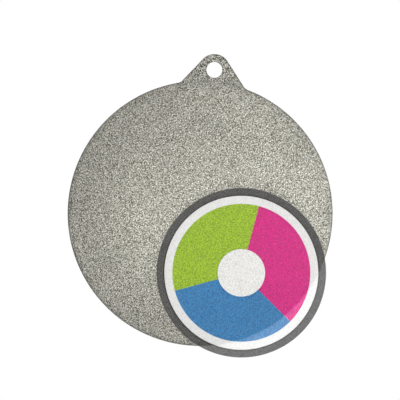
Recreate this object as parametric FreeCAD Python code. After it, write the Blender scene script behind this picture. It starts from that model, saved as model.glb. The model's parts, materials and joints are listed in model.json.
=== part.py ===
"""Collapsible reflector disc, 30 cm class: silver face, white back, and a press-on three-colour wheel.

The disc hangs from the hole in its tab. Millimetres, +Z up, the silver face looks along -Y, and the
origin is the centre of the hang hole at mid thickness. Shapes are drawn about the disc's own centre
and moved to the hang hole when they are written.
"""

import FreeCAD, Part
import math
import os

V = FreeCAD.Vector
Y_AXIS = V(0, 1, 0)

# ---- Driving dimensions ----
DISC_R = 150.0  # outer radius of the open reflector
HOLE_R = 9.0  # hang hole, passes a 16 mm stand spigot
HOLE_UP = 163.3  # hang hole above the disc's centre
TAB_TIP_R = 18.0  # round end of the tab, about the hole
TAB_FLARE = math.radians(38.0)  # how far each tab side leans out from the vertical
TAB_ROOT_R = 9.0  # concave radius where the tab joins the rim

CLOTH = 0.4  # one face cloth
LINING = 0.4  # lightproof lining between the faces
TAB_BOARD = 1.28  # plastic board inside the tab
THREAD_WIDE, THREAD_HIGH = 0.5, 0.2  # a line of stitching, as a flat strip
TAB_SEAM_INSET = 2.4  # tab seam from the tab's edge, with the board inside it

BAND_WIDTH = 2.6  # spring steel band, across the rim
BAND_THICK = 0.6
BAND_MID_R = 147.0
SLEEVE_LENGTH = math.radians(12.0)  # arc of the sleeve over the band's butt joint
SLEEVE_WALL = 0.3
CHANNEL_HALF = 1.7  # inside half depth of the band channel
CHANNEL_SEAM_R = 138.5
RAMP_FOOT_R = CHANNEL_SEAM_R + 0.5  # the cloth starts to rise over the channel here
CHANNEL_TOP_R = 145.2  # the channel is at full depth from here out to the rounded rim

FOLD_UP = 30.0  # the two fold lines lie this far above and below the disc's centre
FOLD_GAP = 0.3  # gap left between the stiff pieces at a fold line

WHEEL_X, WHEEL_Z = 53.0, -62.2  # colour wheel's axis, from the disc's centre
WHEEL_R = 95.8
WHEEL_RIM = 8.7  # width of the smoked ring
SECTOR_R = 78.0  # outer radius of the coloured films
SECTOR_START = math.radians(9.2)  # first film edge, clockwise from straight up
HUB_R = 26.9
RING_LIP_R = WHEEL_R - 1.8  # the back ring's outer lip starts here
CARRIER_HOLE_R = 12.0
WHEEL_BACK = -2.5  # back plane of the wheel, clear of the rim bead
RING_BACK_THICK, CARRIER_THICK, FILM_THICK, RING_FRONT_THICK = 0.9, 0.3, 0.25, 1.0
EASE_FRONT, EASE_BACK = 0.4, 0.3  # chamfers of the ring and hub
HUB_CROWN = 0.35

STUD_HEAD_R, STUD_NECK_R, STUD_FLANGE_R, STUD_POST_R = 3.7, 3.0, 7.5, 1.8
STUD_FLANGE_THICK = 0.5
STUD_TIP = -3.5

# ---- Derived levels, front to back ----
FACE_OUT = LINING / 2 + CLOTH  # outer surface of either face cloth from mid plane
BEAD_OUT = CHANNEL_HALF + CLOTH
RIM_ARC_R = DISC_R - BEAD_OUT
TAB_OUT = TAB_BOARD / 2 + CLOTH
TAB_RAMP_START_R = RIM_ARC_R + 0.2
TAB_RAMP_END_R = HOLE_UP - HOLE_R - 0.7  # the tab is flat from just below the hole
TAB_CUT_R = CHANNEL_TOP_R + 0.8  # inside this radius the tab side follows the plain disc
CARRIER_BACK = WHEEL_BACK - RING_BACK_THICK
CARRIER_FRONT = CARRIER_BACK - CARRIER_THICK
FILM_FRONT = CARRIER_FRONT - FILM_THICK
WHEEL_FRONT = CARRIER_FRONT - RING_FRONT_THICK
STEP_CLEAR = 0.05  # clearance of parts that lie against or pass through each other
FAR = 400.0  # past everything, across the disc
DEEP = 10.0  # past everything, front to back


def flat_wire(points):
    """A closed wire of straight edges and, where a point is a pair (middle, end), arcs."""
    edges, here = [], points[0]
    for item in points[1:]:
        if isinstance(item, tuple):
            edges.append(Part.Arc(here, item[0], item[1]).toShape())
            here = item[1]
        else:
            edges.append(Part.LineSegment(here, item).toShape())
            here = item
    if here.distanceToPoint(points[0]) > 1e-9:
        edges.append(Part.LineSegment(here, points[0]).toShape())
    return Part.Wire(edges)


def turned(points, degrees=360.0):
    """A solid of revolution about Y from a profile of (radius, y) points in the XY plane."""
    return Part.Face(flat_wire(points)).revolve(V(0, 0, 0), Y_AXIS, degrees)


def disc(radius, y_from, y_to, hole=0.0, x=0.0, z=0.0):
    """A flat washer or disc about an axis along Y."""
    low, high = min(y_from, y_to), max(y_from, y_to)
    body = Part.makeCylinder(radius, high - low, V(x, low, z), Y_AXIS)
    if hole:
        body = body.cut(Part.makeCylinder(hole, high - low, V(x, low, z), Y_AXIS))
    return body


def prism(wire, y_from, y_to):
    """A wire in the plane y = 0, thickened from y_from to y_to."""
    face = Part.Face(wire)
    face.translate(V(0, y_from, 0))
    return face.extrude(V(0, y_to - y_from, 0))


def back_of(shape):
    """The same shape on the white side."""
    return shape.mirror(V(0, 0, 0), Y_AXIS)


def crown(edge_r, edge_y, rise):
    """Middle and top of a shallow ball-shaped crown that starts at (edge_r, edge_y)."""
    ball_r = (edge_r**2 + rise**2) / (2 * rise)
    half_angle = math.asin(edge_r / ball_r) / 2
    top = edge_y + math.copysign(rise, edge_y)
    sink = math.copysign(ball_r * (1 - math.cos(half_angle)), edge_y)
    return (V(ball_r * math.sin(half_angle), top - sink, 0), V(0, top, 0))


def slab(z_low, z_high):
    return Part.makeBox(2 * FAR, 2 * FAR, z_high - z_low, V(-FAR, -FAR, z_low))


def at_wheel(shape):
    moved = shape.copy()
    moved.translate(V(WHEEL_X, 0, WHEEL_Z))
    return moved


# ---- Tab outline ----
def tab_side(inset):
    """Where a tab side leaves the round tip, and its direction, on the right of the tab."""
    normal = V(math.cos(TAB_FLARE), 0, math.sin(TAB_FLARE))
    along = V(math.sin(TAB_FLARE), 0, -math.cos(TAB_FLARE))
    return V(0, 0, HOLE_UP) + normal * (TAB_TIP_R - inset), normal, along


def mirrored(point):
    return V(-point.x, point.y, point.z)


def tab_outline():
    """The tab with its root fillets, closed across the inside of the disc."""
    leave, normal, along = tab_side(0.0)
    centre_line = leave + normal * TAB_ROOT_R
    b = centre_line.dot(along)
    c = centre_line.dot(centre_line) - (DISC_R + TAB_ROOT_R) ** 2
    reach = -b - math.sqrt(b * b - c)
    fillet = centre_line + along * reach
    on_side = leave + along * reach
    on_rim = fillet * (DISC_R / (DISC_R + TAB_ROOT_R))
    half = ((on_side - fillet) + (on_rim - fillet)).normalize() * TAB_ROOT_R
    inner = on_rim * ((CHANNEL_SEAM_R - 4.0) / DISC_R)
    return flat_wire(
        [
            inner,
            on_rim,
            (fillet + half, on_side),
            leave,
            (V(0, 0, HOLE_UP + TAB_TIP_R), mirrored(leave)),
            mirrored(on_side),
            (mirrored(fillet + half), mirrored(on_rim)),
            mirrored(inner),
        ]
    )


def tab_shield(inset, start_r, y_from, y_to):
    """The tab's outline moved in by inset, from radius start_r outwards, with no fillets."""
    leave, _, along = tab_side(inset)
    foot = leave + along * 40.0
    wire = flat_wire(
        [foot, leave, (V(0, 0, HOLE_UP + TAB_TIP_R - inset), mirrored(leave)), mirrored(foot)]
    )
    return prism(wire, y_from, y_to).cut(disc(start_r, y_from, y_to))


def hang_hole():
    return disc(HOLE_R, -DEEP, DEEP, z=HOLE_UP)


def post_way():
    """The way through the cloths for the stud's rivet."""
    return disc(STUD_POST_R + STEP_CLEAR, -DEEP, DEEP, x=WHEEL_X, z=WHEEL_Z)


# ---- Reflector cloths, lining and band ----
def face_cloth():
    """The silver face: flat, rising over the band channel, round the rim, and out into the tab."""
    arc_out = V(RIM_ARC_R + BEAD_OUT * math.sqrt(0.5), -BEAD_OUT * math.sqrt(0.5), 0)
    arc_in = V(RIM_ARC_R + CHANNEL_HALF * math.sqrt(0.5), -CHANNEL_HALF * math.sqrt(0.5), 0)
    plain = turned(
        [
            V(0, -FACE_OUT, 0),
            V(RAMP_FOOT_R, -FACE_OUT, 0),
            V(CHANNEL_TOP_R, -BEAD_OUT, 0),
            V(RIM_ARC_R, -BEAD_OUT, 0),
            (arc_out, V(RIM_ARC_R + BEAD_OUT, 0, 0)),
            V(RIM_ARC_R + CHANNEL_HALF, 0, 0),
            (arc_in, V(RIM_ARC_R, -CHANNEL_HALF, 0)),
            V(CHANNEL_TOP_R, -CHANNEL_HALF, 0),
            V(RAMP_FOOT_R, CLOTH - FACE_OUT, 0),
            V(0, CLOTH - FACE_OUT, 0),
        ]
    )
    outside = prism(tab_outline(), -DEEP, DEEP).cut(disc(TAB_CUT_R, -DEEP, DEEP))
    into_tab = turned(
        [
            V(TAB_CUT_R, -BEAD_OUT, 0),
            V(TAB_RAMP_START_R, -BEAD_OUT, 0),
            V(TAB_RAMP_END_R, -TAB_OUT, 0),
            V(FAR / 2, -TAB_OUT, 0),
            V(FAR / 2, CLOTH - TAB_OUT, 0),
            V(TAB_RAMP_END_R, CLOTH - TAB_OUT, 0),
            V(TAB_RAMP_START_R, -CHANNEL_HALF, 0),
            V(TAB_CUT_R, -CHANNEL_HALF, 0),
        ]
    )
    cloth = plain.cut(outside).fuse(into_tab.common(outside)).removeSplitter()
    return cloth.cut(hang_hole()).cut(post_way())


def lining():
    return disc(CHANNEL_SEAM_R - 0.5, -LINING / 2, LINING / 2).cut(post_way())


def tab_board():
    inset = TAB_SEAM_INSET + THREAD_WIDE + 0.5
    board = tab_shield(inset, TAB_RAMP_END_R - 1.0, -TAB_BOARD / 2, TAB_BOARD / 2)
    return board.cut(hang_hole())


def spring_band():
    """The flat steel hoop, butted at the bottom inside the splice sleeve."""
    hoop = disc(BAND_MID_R + BAND_THICK / 2, -BAND_WIDTH / 2, BAND_WIDTH / 2,
                hole=BAND_MID_R - BAND_THICK / 2)
    butt = Part.makeBox(0.2, BAND_WIDTH, 20, V(-0.1, -BAND_WIDTH / 2, -DISC_R))
    return hoop.cut(butt)


def splice_sleeve():
    """The crimped tube that joins the two ends of the band."""
    half_wide, half_thick = BAND_WIDTH / 2 + STEP_CLEAR, BAND_THICK / 2 + STEP_CLEAR
    outer = disc(
        BAND_MID_R + half_thick + SLEEVE_WALL,
        -half_wide - SLEEVE_WALL,
        half_wide + SLEEVE_WALL,
        hole=BAND_MID_R - half_thick - SLEEVE_WALL,
    )
    inner = disc(BAND_MID_R + half_thick, -half_wide, half_wide, hole=BAND_MID_R - half_thick)
    lean = SLEEVE_LENGTH / 2
    side, down = FAR * math.sin(lean), -FAR * math.cos(lean)
    wedge = flat_wire([V(0, 0, 0), V(-side, 0, down), V(side, 0, down)])
    return outer.cut(inner).common(prism(wedge, -DEEP, DEEP))


def channel_seam():
    """The line of thread that closes the band channel, on both faces."""
    outer, inner = CHANNEL_SEAM_R + THREAD_WIDE / 2, CHANNEL_SEAM_R - THREAD_WIDE / 2
    thread = disc(outer, -FACE_OUT - THREAD_HIGH, -FACE_OUT, hole=inner)
    return [thread, back_of(thread)]


def tab_seam():
    """The line of thread round the sides and tip of the tab, on both faces."""
    front = -TAB_OUT - THREAD_HIGH
    outer = tab_shield(TAB_SEAM_INSET, TAB_RAMP_END_R + 0.4, front, -TAB_OUT)
    inner = tab_shield(TAB_SEAM_INSET + THREAD_WIDE, TAB_RAMP_END_R, front, -TAB_OUT)
    thread = outer.cut(inner)
    return [thread, back_of(thread)]


# ---- Press stud on the reflector ----
PATCH_R, PATCH_THICK = 15.0, 0.3
RIVET_HEAD_R, RIVET_TIP = 7.0, -1.9
CHAMBER_BACK, CHAMBER_FRONT = -1.75, -2.45  # the hollow round the stud's neck that holds the snap ring


def stud_patch():
    """The round cloth patch on the white side that spreads the stud's pull."""
    return at_wheel(disc(PATCH_R, FACE_OUT, FACE_OUT + PATCH_THICK, hole=STUD_POST_R + STEP_CLEAR))


def patch_seam():
    top, outer = FACE_OUT + PATCH_THICK, PATCH_R - 1.5
    return at_wheel(disc(outer, top, top + THREAD_HIGH, hole=outer - THREAD_WIDE))


def snap_stud():
    """The ball half of the press stud: flange, neck and rounded head, with a blind bore for the rivet."""
    flange_front = -FACE_OUT - STUD_FLANGE_THICK
    head_full = STUD_TIP + 0.45
    body = turned(
        [
            V(0, -FACE_OUT, 0),
            V(STUD_FLANGE_R, -FACE_OUT, 0),
            V(STUD_FLANGE_R, flange_front + 0.2, 0),
            V(STUD_FLANGE_R - 0.2, flange_front, 0),
            V(STUD_NECK_R, flange_front, 0),
            V(STUD_NECK_R, CHAMBER_FRONT, 0),
            V(STUD_HEAD_R, CHAMBER_FRONT - 0.25, 0),
            V(STUD_HEAD_R, head_full, 0),
            V(STUD_NECK_R - 0.4, STUD_TIP, 0),
            V(0, STUD_TIP, 0),
        ]
    )
    bore = disc(STUD_POST_R + STEP_CLEAR, -FACE_OUT, RIVET_TIP - 0.1)
    return at_wheel(body.cut(bore))


def stud_rivet():
    """The rear rivet: a low domed head on the patch, its post through the cloths into the stud."""
    base = FACE_OUT + PATCH_THICK
    return at_wheel(
        turned(
            [
                V(0, RIVET_TIP, 0),
                V(STUD_POST_R, RIVET_TIP, 0),
                V(STUD_POST_R, base, 0),
                V(RIVET_HEAD_R, base, 0),
                V(RIVET_HEAD_R, base + 0.3, 0),
                crown(RIVET_HEAD_R, base + 0.3, 0.45),
            ]
        )
    )


# ---- Colour wheel ----
BOSS_R, CHAMBER_R, MOUTH_R = 8.5, 5.4, 4.0
BOSS_BACK, SOCKET_END = -1.4, STUD_TIP - 0.05


def snap_ring():
    """The split spring ring inside the socket that grips the stud's neck."""
    inner, outer = STUD_NECK_R + 0.15, 4.6
    front, back = CHAMBER_FRONT + 0.05, CHAMBER_BACK - 0.05
    ring = turned([V(inner, front, 0), V(outer, front, 0), V(outer, back, 0), V(inner, back, 0)], 320.0)
    return at_wheel(ring)


def hub_socket():
    """The hub's rear plate, with the socket that holds the snap ring."""
    boss_front = FILM_FRONT + STEP_CLEAR
    plate = turned(
        [
            V(0, boss_front, 0),
            V(BOSS_R, boss_front, 0),
            V(BOSS_R, CARRIER_BACK, 0),
            V(HUB_R, CARRIER_BACK, 0),
            V(HUB_R, WHEEL_BACK - EASE_BACK, 0),
            V(HUB_R - EASE_BACK, WHEEL_BACK, 0),
            V(BOSS_R, WHEEL_BACK, 0),
            V(BOSS_R, BOSS_BACK, 0),
            V(MOUTH_R, BOSS_BACK, 0),
            V(MOUTH_R, CHAMBER_BACK, 0),
            V(CHAMBER_R, CHAMBER_BACK, 0),
            V(CHAMBER_R, CHAMBER_FRONT, 0),
            V(MOUTH_R, CHAMBER_FRONT, 0),
            V(MOUTH_R, SOCKET_END, 0),
            V(0, SOCKET_END, 0),
        ]
    )
    return at_wheel(plate)


def hub_cap():
    """The white front disc of the hub, with the spigot that closes on the socket's boss."""
    spigot_in, spigot_out, spigot_end = BOSS_R + STEP_CLEAR, BOSS_R + 2.0, CARRIER_BACK - STEP_CLEAR
    cap = turned(
        [
            V(0, FILM_FRONT, 0),
            V(spigot_in, FILM_FRONT, 0),
            V(spigot_in, spigot_end, 0),
            V(spigot_out, spigot_end, 0),
            V(spigot_out, FILM_FRONT, 0),
            V(HUB_R, FILM_FRONT, 0),
            V(HUB_R, WHEEL_FRONT + EASE_FRONT, 0),
            V(HUB_R - EASE_FRONT, WHEEL_FRONT, 0),
            crown(HUB_R - EASE_FRONT, WHEEL_FRONT, HUB_CROWN),
        ]
    )
    return at_wheel(cap)


def clear_carrier():
    """The clear disc that carries the films, clamped in the hub and in the smoked ring."""
    return at_wheel(disc(RING_LIP_R - 0.1, CARRIER_BACK, CARRIER_FRONT, hole=CARRIER_HOLE_R))


def frosted_band():
    """The pale frosted film between the coloured films and the smoked ring."""
    outer = WHEEL_R - WHEEL_RIM - STEP_CLEAR
    return at_wheel(disc(outer, CARRIER_FRONT, FILM_FRONT, hole=SECTOR_R + STEP_CLEAR))


def colour_film(index):
    """One third of the wheel, clockwise from SECTOR_START."""
    ring = disc(SECTOR_R, CARRIER_FRONT, FILM_FRONT, hole=CARRIER_HOLE_R + 2.0)
    first = SECTOR_START + index * math.tau / 3
    edges = [first, first + math.tau / 6, first + math.tau / 3]
    corners = [V(FAR * math.sin(a), 0, FAR * math.cos(a)) for a in edges]
    return at_wheel(ring.common(prism(flat_wire([V(0, 0, 0), *corners]), -DEEP, DEEP)))


def ring_front():
    """The smoked front ring, its front edges eased."""
    inner = WHEEL_R - WHEEL_RIM
    return at_wheel(
        turned(
            [
                V(inner, CARRIER_FRONT, 0),
                V(WHEEL_R, CARRIER_FRONT, 0),
                V(WHEEL_R, WHEEL_FRONT + EASE_FRONT, 0),
                V(WHEEL_R - EASE_FRONT, WHEEL_FRONT, 0),
                V(inner + EASE_FRONT, WHEEL_FRONT, 0),
                V(inner, WHEEL_FRONT + EASE_FRONT, 0),
            ]
        )
    )


def ring_back():
    """The smoked back ring, with the outer lip that meets the front ring."""
    inner = WHEEL_R - WHEEL_RIM
    return at_wheel(
        turned(
            [
                V(inner, CARRIER_BACK, 0),
                V(RING_LIP_R, CARRIER_BACK, 0),
                V(RING_LIP_R, CARRIER_FRONT, 0),
                V(WHEEL_R, CARRIER_FRONT, 0),
                V(WHEEL_R, WHEEL_BACK - EASE_BACK, 0),
                V(WHEEL_R - EASE_BACK, WHEEL_BACK, 0),
                V(inner + EASE_BACK, WHEEL_BACK, 0),
                V(inner, WHEEL_BACK - EASE_BACK, 0),
            ]
        )
    )


# ---- Writing the nodes ----
SECTIONS = {
    "upper": (FOLD_UP + FOLD_GAP / 2, FAR),
    "middle": (-FOLD_UP + FOLD_GAP / 2, FOLD_UP - FOLD_GAP / 2),
    "lower": (-FAR, -FOLD_UP - FOLD_GAP / 2),
}


def solids_of(shape):
    shapes = shape if isinstance(shape, list) else [shape]
    return [solid for s in shapes for solid in s.Solids]


def write(name, shape):
    solids = solids_of(shape)
    group = solids[0] if len(solids) == 1 else Part.makeCompound(solids)
    group = group.copy()
    group.translate(V(0, 0, -HOLE_UP))
    bad = [s for s in group.Solids if not s.isValid()]
    print(f"{name}: {len(group.Solids)} solids, {group.Volume / 1000:.3f} cm3{' INVALID' if bad else ''}")
    group.exportStep(f"parts/{name}.step")


def write_sections(name, shape):
    """One node for each of the three sections between the fold lines."""
    for section, (low, high) in SECTIONS.items():
        write(f"{name}_{section}", [s.common(slab(low, high)) for s in solids_of(shape)])


def main():
    os.makedirs("parts", exist_ok=True)
    silver = face_cloth()
    write_sections("silver_face", silver)
    write_sections("white_back", back_of(silver))
    write_sections("lightproof_lining", lining())
    write_sections("spring_band", spring_band())
    write_sections("channel_seam", channel_seam())
    write("band_splice_sleeve", splice_sleeve())
    write("tab_board", tab_board())
    write("tab_seam", tab_seam())
    write("stud_patch", stud_patch())
    write("stud_patch_seam", patch_seam())
    write("snap_stud", snap_stud())
    write("stud_rivet", stud_rivet())
    write("snap_ring", snap_ring())
    write("hub_socket", hub_socket())
    write("hub_cap", hub_cap())
    write("clear_carrier", clear_carrier())
    write("frosted_band", frosted_band())
    for index, colour in enumerate(("magenta", "blue", "green")):
        write(f"{colour}_film", colour_film(index))
    write("wheel_ring_front", ring_front())
    write("wheel_ring_back", ring_back())


main()
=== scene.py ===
"""Looks of the collapsible reflector disc: cloth, thread, steel, films and the light round them.

Everything is in metres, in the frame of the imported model: the origin is the centre of the hang hole, +Z is up
and the silver face looks along -Y. A cloth's plan is drawn as (x, z), and its front or back is then raised.
"""

import json
import math

import bmesh
import bpy
from mathutils import Matrix, Vector
from mathutils.geometry import delaunay_2d_cdt


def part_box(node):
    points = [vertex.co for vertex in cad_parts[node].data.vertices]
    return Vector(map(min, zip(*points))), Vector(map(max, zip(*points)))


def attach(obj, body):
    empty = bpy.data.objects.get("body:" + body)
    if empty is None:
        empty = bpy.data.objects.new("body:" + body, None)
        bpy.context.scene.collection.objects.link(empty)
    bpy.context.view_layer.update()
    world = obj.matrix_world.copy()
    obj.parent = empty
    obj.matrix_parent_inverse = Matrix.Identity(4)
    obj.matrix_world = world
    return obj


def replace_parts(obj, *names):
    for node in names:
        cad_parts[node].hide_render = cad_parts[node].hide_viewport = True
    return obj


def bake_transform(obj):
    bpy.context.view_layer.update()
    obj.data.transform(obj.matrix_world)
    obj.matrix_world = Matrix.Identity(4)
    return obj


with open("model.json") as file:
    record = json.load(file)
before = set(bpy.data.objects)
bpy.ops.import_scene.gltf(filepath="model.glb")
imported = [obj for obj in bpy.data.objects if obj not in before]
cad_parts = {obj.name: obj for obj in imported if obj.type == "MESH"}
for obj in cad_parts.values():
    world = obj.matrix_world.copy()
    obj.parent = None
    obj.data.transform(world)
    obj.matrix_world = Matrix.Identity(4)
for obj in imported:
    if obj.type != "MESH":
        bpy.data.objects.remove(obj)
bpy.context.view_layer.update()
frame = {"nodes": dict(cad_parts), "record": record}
MM = 0.001


# ---- Sizes read from the frame ----
def middle_of(node):
    low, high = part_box(node)
    return (low + high) / 2


def size_of(node):
    low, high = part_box(node)
    return high - low


DISC_Z = middle_of("silver_face_middle").z
DISC_R = size_of("silver_face_middle").x / 2
BEAD = -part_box("silver_face_middle")[0].y
HANG_HOLE = frame["record"]["mounts"][0]
TAB_HALF = -HANG_HOLE["pos_m"][1] + HANG_HOLE["dims"]["length_mm"] * MM / 2
HOLE_R = HANG_HOLE["dims"]["r_mm"] * MM
TIP_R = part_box("silver_face_upper")[1].z
WHEEL_AT = middle_of("hub_cap")
WHEEL_R = size_of("wheel_ring_front").x / 2
PATCH_R = size_of("stud_patch").x / 2

# ---- Sizes of the looks alone ----
CLOTH = 0.34 * MM
FACE = 0.6 * MM  # outer surface of a face cloth from mid plane
SEAM_R = DISC_R - 11.5 * MM
CREST_R = DISC_R - 4.8 * MM  # the cloth lies on the hoop's edge from here out
RIM_R = DISC_R - BEAD  # the rim is a round of radius BEAD about here
TAB_FLAT_R = -DISC_Z - HOLE_R - 0.7 * MM
TAB_FLARE = math.radians(38)
TAB_ROOT_R = 9 * MM
LIP = 0.3 * MM  # how deep the turned seam sinks between the two cloths at the edge
HOOP_IN, HOOP_THICK = 2.7 * MM, 0.6 * MM  # the hoop's outside from the disc's edge, and its thickness
COLUMNS = 480
QUARTER = COLUMNS // 4
TAB_COLUMNS = 24  # the tab's sector, each side of straight up
TIP_STEPS, SIDE_STEPS, ROOT_STEPS, SHOULDER_STEPS = 22, 22, 8, 5  # along half of the tab's outline
HOLE_STEPS = 72
GRID_R = 135 * MM  # inside this radius a cloth is a grid, outside it is rings


# ---- Small mesh tools ----
def mesh_object(name, points, faces):
    mesh = bpy.data.meshes.new(name)
    mesh.from_pydata(points, [], faces)
    mesh.validate()
    mesh.polygons.foreach_set("use_smooth", [True] * len(mesh.polygons))
    made = bpy.data.objects.new(name, mesh)
    bpy.context.scene.collection.objects.link(made)
    return made


def outward(made):
    """Turns the faces of a closed mesh to look out of it."""
    work = bmesh.new()
    work.from_mesh(made.data)
    bmesh.ops.recalc_face_normals(work, faces=work.faces)
    work.to_mesh(made.data)
    work.free()
    return made


def apply_modifiers(made):
    graph = bpy.context.evaluated_depsgraph_get()
    mesh = bpy.data.meshes.new_from_object(made.evaluated_get(graph))
    made.modifiers.clear()
    made.data = mesh
    return made


def crisp(made):
    """Keeps flat faces flat in their shading, and smooth ones smooth."""
    made.data.set_sharp_from_angle(angle=math.radians(35))
    flat = made.modifiers.new("flat", "WEIGHTED_NORMAL")
    flat.keep_sharp = True
    return apply_modifiers(made)


def keep_place(made):
    """Stores where each point is at rest, so that a pattern stays on cloth that bends."""
    place = made.data.attributes.new("rest_place", "FLOAT_VECTOR", "POINT")
    place.data.foreach_set("vector", [c for v in made.data.vertices for c in v.co])
    return made


def lathe(name, profile, at, segments=96, start=0.0, turn=math.tau):
    """Turns a closed profile of (radius, y) about an axis along Y through at, with ends if it isn't a full turn."""
    full = turn >= math.tau - 1e-9
    steps = segments if full else segments + 1
    points, faces, n = [], [], len(profile)
    for i in range(steps):
        angle = start + turn * i / segments
        points += [(at.x + r * math.sin(angle), y, at.z + r * math.cos(angle)) for r, y in profile]
    for i in range(segments):
        j = (i + 1) % steps
        faces += [(i * n + k, i * n + (k + 1) % n, j * n + (k + 1) % n, j * n + k) for k in range(n)]
    if not full:
        faces += [tuple(range(n)), tuple(range((steps - 1) * n, steps * n))]
    made = mesh_object(name, points, faces)
    work = bmesh.new()
    work.from_mesh(made.data)
    bmesh.ops.remove_doubles(work, verts=work.verts, dist=1e-7)
    on_axis = [e for e in work.edges if not e.link_faces]
    bmesh.ops.delete(work, geom=on_axis, context="EDGES")
    bmesh.ops.recalc_face_normals(work, faces=work.faces)
    work.to_mesh(made.data)
    work.free()
    return crisp(made)


def arc(r, y, radius, start, end, steps=6):
    """Points of a round corner in a lathe profile, from angle start to end, in degrees."""
    angles = [math.radians(start + (end - start) * i / steps) for i in range(steps + 1)]
    return [(r + radius * math.cos(a), y + radius * math.sin(a)) for a in angles]


# ---- Outline of the disc and its tab ----
def polar(radius, column):
    """A point at that radius from the disc's centre, column steps clockwise from straight up."""
    angle = math.tau * column / COLUMNS
    return radius * math.sin(angle), DISC_Z + radius * math.cos(angle)


def tab_half_outline():
    """Points and inward directions down the right side of the tab, from its tip to the edge of its sector."""
    normal = Vector((math.cos(TAB_FLARE), math.sin(TAB_FLARE)))
    along = Vector((math.sin(TAB_FLARE), -math.cos(TAB_FLARE)))
    centre = Vector((0, DISC_Z))
    leave = normal * TIP_R
    line = leave + normal * TAB_ROOT_R - centre
    b, c = line.dot(along), line.length_squared - (DISC_R + TAB_ROOT_R) ** 2
    reach = -b - math.sqrt(b * b - c)
    fillet = centre + line + along * reach
    on_side = leave + along * reach
    on_rim = centre + (fillet - centre) * (DISC_R / (DISC_R + TAB_ROOT_R))
    made = []
    tip_end = math.pi / 2 - TAB_FLARE
    for i in range(TIP_STEPS):
        angle = tip_end * i / TIP_STEPS
        out = Vector((math.sin(angle), math.cos(angle)))
        made.append((out * TIP_R, -out))
    made += [(leave.lerp(on_side, i / SIDE_STEPS), -normal) for i in range(SIDE_STEPS)]
    first, last = on_side - fillet, on_rim - fillet
    bend = first.angle_signed(last)
    for i in range(ROOT_STEPS + 1):
        arm = first.copy()
        arm.rotate(Matrix.Rotation(-bend * i / ROOT_STEPS, 2))
        made.append((fillet + arm, arm.normalized()))
    rim_angle = math.atan2(on_rim.x, on_rim.y - DISC_Z)
    end_angle = math.tau * TAB_COLUMNS / COLUMNS
    for i in range(1, SHOULDER_STEPS + 1):
        angle = rim_angle + (end_angle - rim_angle) * i / SHOULDER_STEPS
        out = Vector((math.sin(angle), math.cos(angle)))
        made.append((centre + out * DISC_R, -out))
    return made


def tab_outline():
    """The tab's outline from the left edge of its sector over the tip to the right edge."""
    right = tab_half_outline()
    left = [(Vector((-p.x, p.y)), Vector((-n.x, n.y))) for p, n in right[1:]]
    return left[::-1] + right


# ---- Shape of a face cloth ----
SLACK_HIGH, SLACK_FADE, STUD_FADE = 0.12 * MM, 30 * MM, 25 * MM
VALLEY_DEPTH, VALLEY_WIDTH = 0.11 * MM, 0.7 * MM
PUCKERS, PUCKER_HIGH, PUCKER_OUT, PUCKER_WIDTH = 66, 0.07 * MM, 2.5 * MM, 2.6 * MM
CUT_EDGE, CUT_DEPTH = 0.4 * MM, 0.1 * MM  # how far in the hole's edge is rounded, and how deep


def smooth(t):
    t = min(max(t, 0.0), 1.0)
    return t * t * (3 - 2 * t)


def plate(radius):
    """Height of the cloth above mid plane, before the edge is rounded."""
    if radius <= RIM_R:
        return FACE + (BEAD - FACE) * smooth((radius - SEAM_R - 0.4 * MM) / (CREST_R - SEAM_R))
    return BEAD + (TAB_HALF - BEAD) * smooth((radius - RIM_R) / (TAB_FLAT_R - RIM_R))


def relief(x, z, radius, phase):
    """Slack in the stretched cloth, the valley under the stitches and the puckers they raise."""
    open_cloth = smooth((SEAM_R - radius) / SLACK_FADE)
    open_cloth *= smooth((math.hypot(x - WHEEL_AT.x, z - WHEEL_AT.z) - PATCH_R) / STUD_FADE)
    slack = math.sin(41 * x + 17 * z + phase) * math.sin(29 * z - 23 * x + 2 * phase)
    slack += 0.6 * math.sin(67 * x - 49 * z + 3 * phase)
    angle = math.atan2(x, z - DISC_Z)
    from_seam = radius - SEAM_R
    valley = VALLEY_DEPTH * math.exp(-((from_seam / VALLEY_WIDTH) ** 2))
    pucker = PUCKER_HIGH * math.sin(PUCKERS * angle + 2 * math.sin(5 * angle + phase))
    pucker *= math.exp(-(((from_seam - PUCKER_OUT) / PUCKER_WIDTH) ** 2))
    return SLACK_HIGH * (slack + 1.6) * open_cloth - valley + pucker


def height(x, z, depth, phase):
    radius = math.hypot(x, z - DISC_Z)
    base = plate(radius)
    edge = 1.0 if depth >= base else math.sqrt(max(0.0, 1 - (1 - depth / base) ** 2))
    hole = (math.hypot(x, z) - HOLE_R) / CUT_EDGE
    cut_edge = CUT_DEPTH * (1 - hole) ** 2 if hole < 1 else 0.0
    return base * edge + (relief(x, z, radius, phase) if radius < RIM_R else 0.0) - cut_edge


RIM_DEPTHS = [BEAD * (1 - math.sin(math.radians(a))) for a in (0, 14, 28, 42, 56, 69, 80)] + [0.0]
RING_STEPS = (0, 1.3, 2.3, 2.9, 3.2, 3.5, 3.8, 4.2, 4.9, 5.8, 6.8, 7.8, 8.8, 9.6)  # closest at the seam
RING_RADII = [GRID_R + s * MM for s in RING_STEPS]
RING_RADII += [CREST_R, CREST_R + 0.9 * MM, CREST_R + 1.8 * MM, RIM_R]


class Plan:
    """The flat plan of a cloth: points (x, z, depth in from the outline), shared between its faces."""

    def __init__(self):
        self.points, self.index, self.faces = [], {}, []

    def point(self, x, z, depth):
        column, row = round(x * 1e6), round(z * 1e6)
        for key in ((column + i, row + j) for i in (0, -1, 1) for j in (0, -1, 1)):
            if key in self.index:
                return self.index[key]
        self.index[column, row] = len(self.points)
        self.points.append((x, z, depth))
        return self.index[column, row]

    def face(self, *corners):
        ids = [self.point(*c) for c in corners]
        if len(set(ids)) > 2:
            self.faces.append(ids)

    def strip(self, first, second):
        for a, b, c, d in zip(first, first[1:], second[1:], second):
            self.face(a, b, c, d)


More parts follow.
